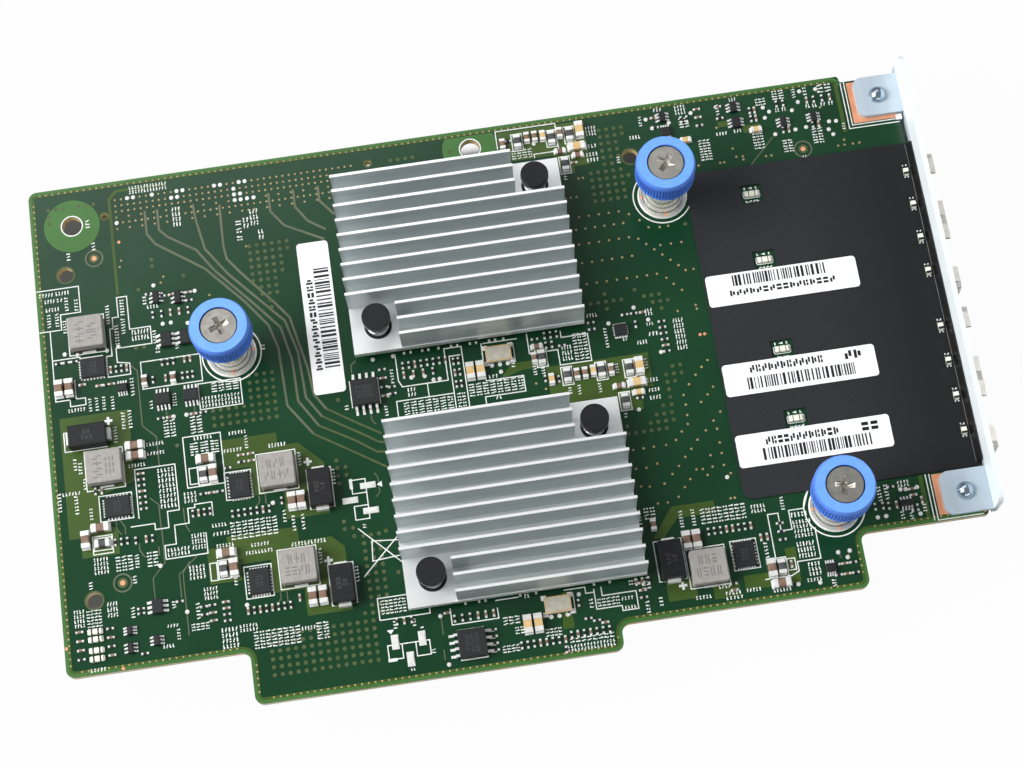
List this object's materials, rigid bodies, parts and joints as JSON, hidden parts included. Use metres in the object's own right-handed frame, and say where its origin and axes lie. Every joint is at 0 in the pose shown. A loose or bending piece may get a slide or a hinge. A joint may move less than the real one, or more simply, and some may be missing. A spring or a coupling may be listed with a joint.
{
  "type": "mezzanine network card",
  "caption": "Server mezzanine network card: stepped green circuit board with finned heatsinks, captive blue thumbscrews, a steel faceplate and plug-in module ports underneath.",
  "frame": {"origin": "middle of the card's outline on the plane that it rests on", "axes": "+X towards the faceplate, +Y towards the straight long edge, +Z out of the component side"},
  "size_m": [0.181, 0.1094, 0.0305],
  "materials": {
    "solder_mask_board": "dark green gloss solder mask",
    "aluminium": "milled satin",
    "plated_steel": "bright zinc plate",
    "nickel": "nickel plate",
    "spring_steel": "drawn wire",
    "blue_plastic": "satin moulded blue",
    "black_sheet": "matt film",
    "label_paper": "coated white paper",
    "black_plastic": "moulded black",
    "chip_epoxy": "moulded epoxy",
    "ferrite_grey": "pressed iron powder",
    "capacitor_ceramic": "tan ceramic with tinned ends",
    "bead_ceramic": "dark grey ceramic with tinned ends",
    "light_lens": "clear and white moulding",
    "lid_metal": "gold-rimmed metal lid",
    "thermal_pad": "grey soft pad"
  },
  "bodies": {
    "card": {"circuit_board": "solder_mask_board", "faceplate_bracket": "plated_steel", "bracket_rivets": "nickel", "upper_port_cage": "plated_steel", "lower_port_cage": "plated_steel", "host_connector": "black_plastic", "power_connector": "black_plastic", "heatsink_push_pins": "black_plastic", "push_pin_springs": "spring_steel", "insulator_sheet": "black_sheet", "board_label": "label_paper", "port_lights": "light_lens", "board_lights": "light_lens", "large_capacitors": "capacitor_ceramic", "small_capacitors": "capacitor_ceramic", "ferrite_beads": "bead_ceramic", "logic_chips": "chip_epoxy", "upper_heatsink": "aluminium", "upper_network_chip": "chip_epoxy", "upper_thermal_pad": "thermal_pad", "lower_heatsink": "aluminium", "lower_network_chip": "chip_epoxy", "lower_thermal_pad": "thermal_pad", "upper_sheet_label": "label_paper", "middle_sheet_label": "label_paper", "lower_sheet_label": "label_paper", "port_socket_1": "black_plastic", "polymer_capacitor_1": "chip_epoxy", "port_socket_2": "black_plastic", "polymer_capacitor_2": "chip_epoxy", "port_socket_3": "black_plastic", "polymer_capacitor_3": "chip_epoxy", "port_socket_4": "black_plastic", "polymer_capacitor_4": "chip_epoxy", "power_inductor_1": "ferrite_grey", "regulator_chip_1": "chip_epoxy", "power_inductor_2": "ferrite_grey", "regulator_chip_2": "chip_epoxy", "power_inductor_3": "ferrite_grey", "regulator_chip_3": "chip_epoxy", "power_inductor_4": "ferrite_grey", "regulator_chip_4": "chip_epoxy", "power_inductor_5": "ferrite_grey", "regulator_chip_5": "chip_epoxy", "flash_chip_1": "chip_epoxy", "oscillator_1": "lid_metal", "flash_chip_2": "chip_epoxy", "oscillator_2": "lid_metal", "left_screw_ferrule": "nickel", "upper_screw_ferrule": "nickel", "lower_screw_ferrule": "nickel"},
    "left_screw_lift": {"left_screw_spring": "spring_steel"},
    "left_thumbscrew": {"left_captive_screw": "nickel", "left_thumb_knob": "blue_plastic"},
    "upper_screw_lift": {"upper_screw_spring": "spring_steel"},
    "upper_thumbscrew": {"upper_captive_screw": "nickel", "upper_thumb_knob": "blue_plastic"},
    "lower_screw_lift": {"lower_screw_spring": "spring_steel"},
    "lower_thumbscrew": {"lower_captive_screw": "nickel", "lower_thumb_knob": "blue_plastic"}
  },
  "joints": [
    {"name": "left_screw_press", "type": "slide", "parent": "card", "child": "left_screw_lift", "axis": [0, 0, 1], "range_m": [-0.006, 0], "stiffness_N_per_m": 400, "springref_m": 0.004, "deforming": ["left_screw_spring"]},
    {"name": "left_screw_turn", "type": "hinge", "parent": "left_screw_lift", "child": "left_thumbscrew", "pos_m": [-0.0533, 0.0146, 0.014], "axis": [0, 0, 1], "continuous": true},
    {"name": "upper_screw_press", "type": "slide", "parent": "card", "child": "upper_screw_lift", "axis": [0, 0, 1], "range_m": [-0.006, 0], "stiffness_N_per_m": 400, "springref_m": 0.004, "deforming": ["upper_screw_spring"]},
    {"name": "upper_screw_turn", "type": "hinge", "parent": "upper_screw_lift", "child": "upper_thumbscrew", "pos_m": [0.0354, 0.03435, 0.014], "axis": [0, 0, 1], "continuous": true},
    {"name": "lower_screw_press", "type": "slide", "parent": "card", "child": "lower_screw_lift", "axis": [0, 0, 1], "range_m": [-0.006, 0], "stiffness_N_per_m": 400, "springref_m": 0.004, "deforming": ["lower_screw_spring"]},
    {"name": "lower_screw_turn", "type": "hinge", "parent": "lower_screw_lift", "child": "lower_thumbscrew", "pos_m": [0.0569, -0.0337, 0.014], "axis": [0, 0, 1], "continuous": true}
  ]
}
